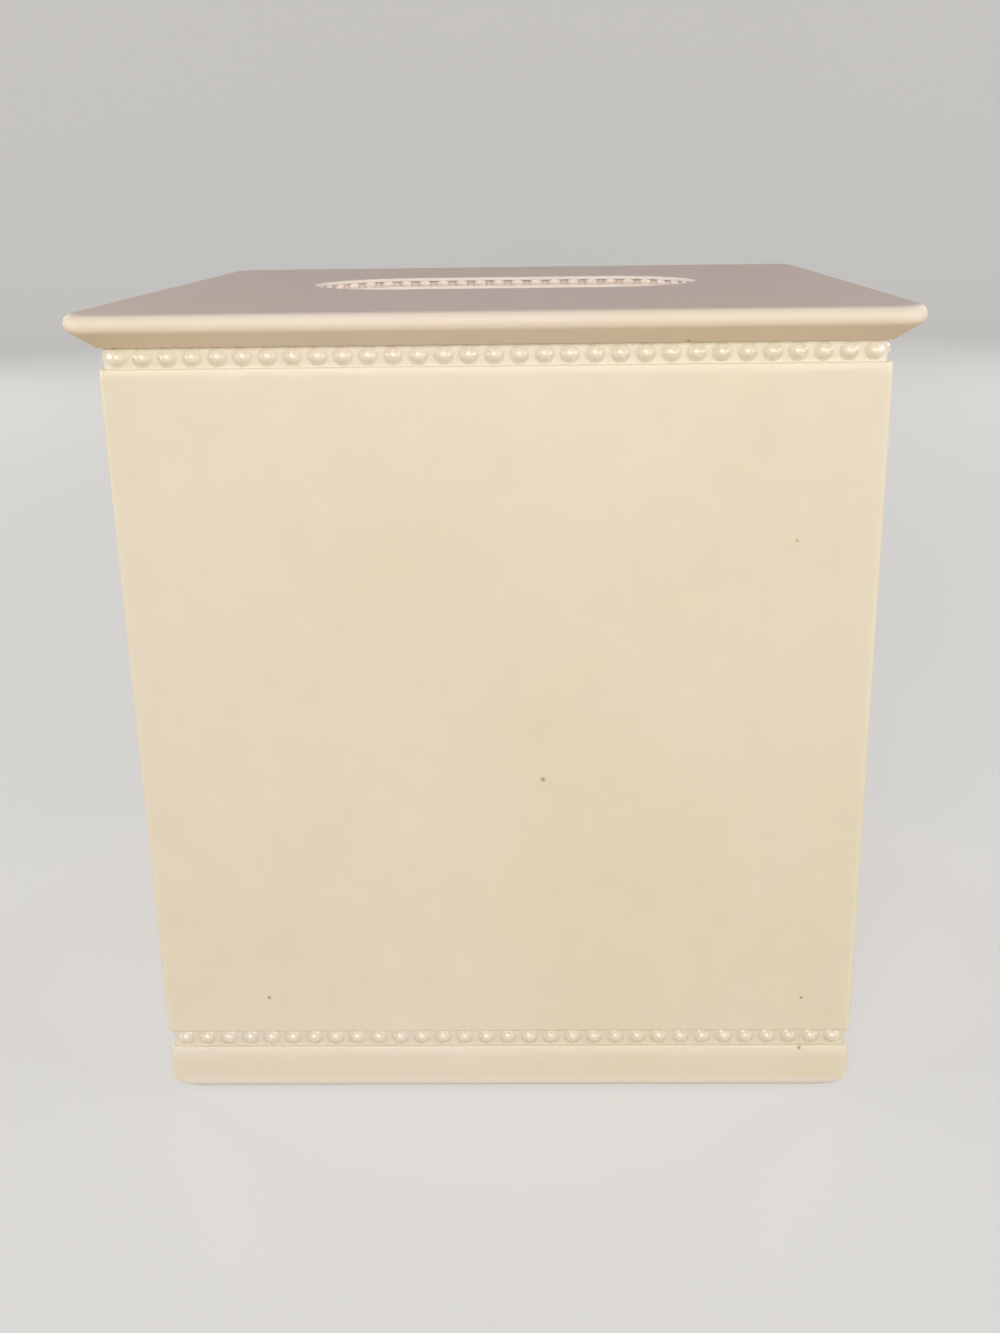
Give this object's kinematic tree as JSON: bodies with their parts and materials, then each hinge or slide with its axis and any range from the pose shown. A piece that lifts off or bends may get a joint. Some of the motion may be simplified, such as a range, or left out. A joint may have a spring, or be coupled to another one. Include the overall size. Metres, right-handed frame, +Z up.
{
  "type": "tissue box cover",
  "caption": "Square ivory cover for an upright tissue carton: beaded sleeve on a rounded plinth, under a lift-off cornice lid with an obround tissue slot.",
  "frame": {"origin": "on the surface that the cover stands on, under the cover's centre", "axes": "+Z up, -Y towards the front, +X to the right of someone facing the front; the slot runs along X"},
  "size_m": [0.148, 0.148, 0.1559],
  "materials": {
    "ivory_resin": "satin ivory cast resin"
  },
  "bodies": {
    "cover": {"sleeve": "ivory_resin", "plinth": "ivory_resin", "upper_bead_strip_front": "ivory_resin", "upper_bead_strip_right": "ivory_resin", "upper_bead_strip_back": "ivory_resin", "upper_bead_strip_left": "ivory_resin", "lower_bead_strip_front": "ivory_resin", "lower_bead_strip_right": "ivory_resin", "lower_bead_strip_back": "ivory_resin", "lower_bead_strip_left": "ivory_resin"},
    "lid": {"lid": "ivory_resin", "slot_bead_ring": "ivory_resin"}
  },
  "joints": [
    {"name": "lid_lift", "type": "slide", "parent": "cover", "child": "lid", "axis": [0, 0, 1], "range_m": [0, 0.05]}
  ]
}
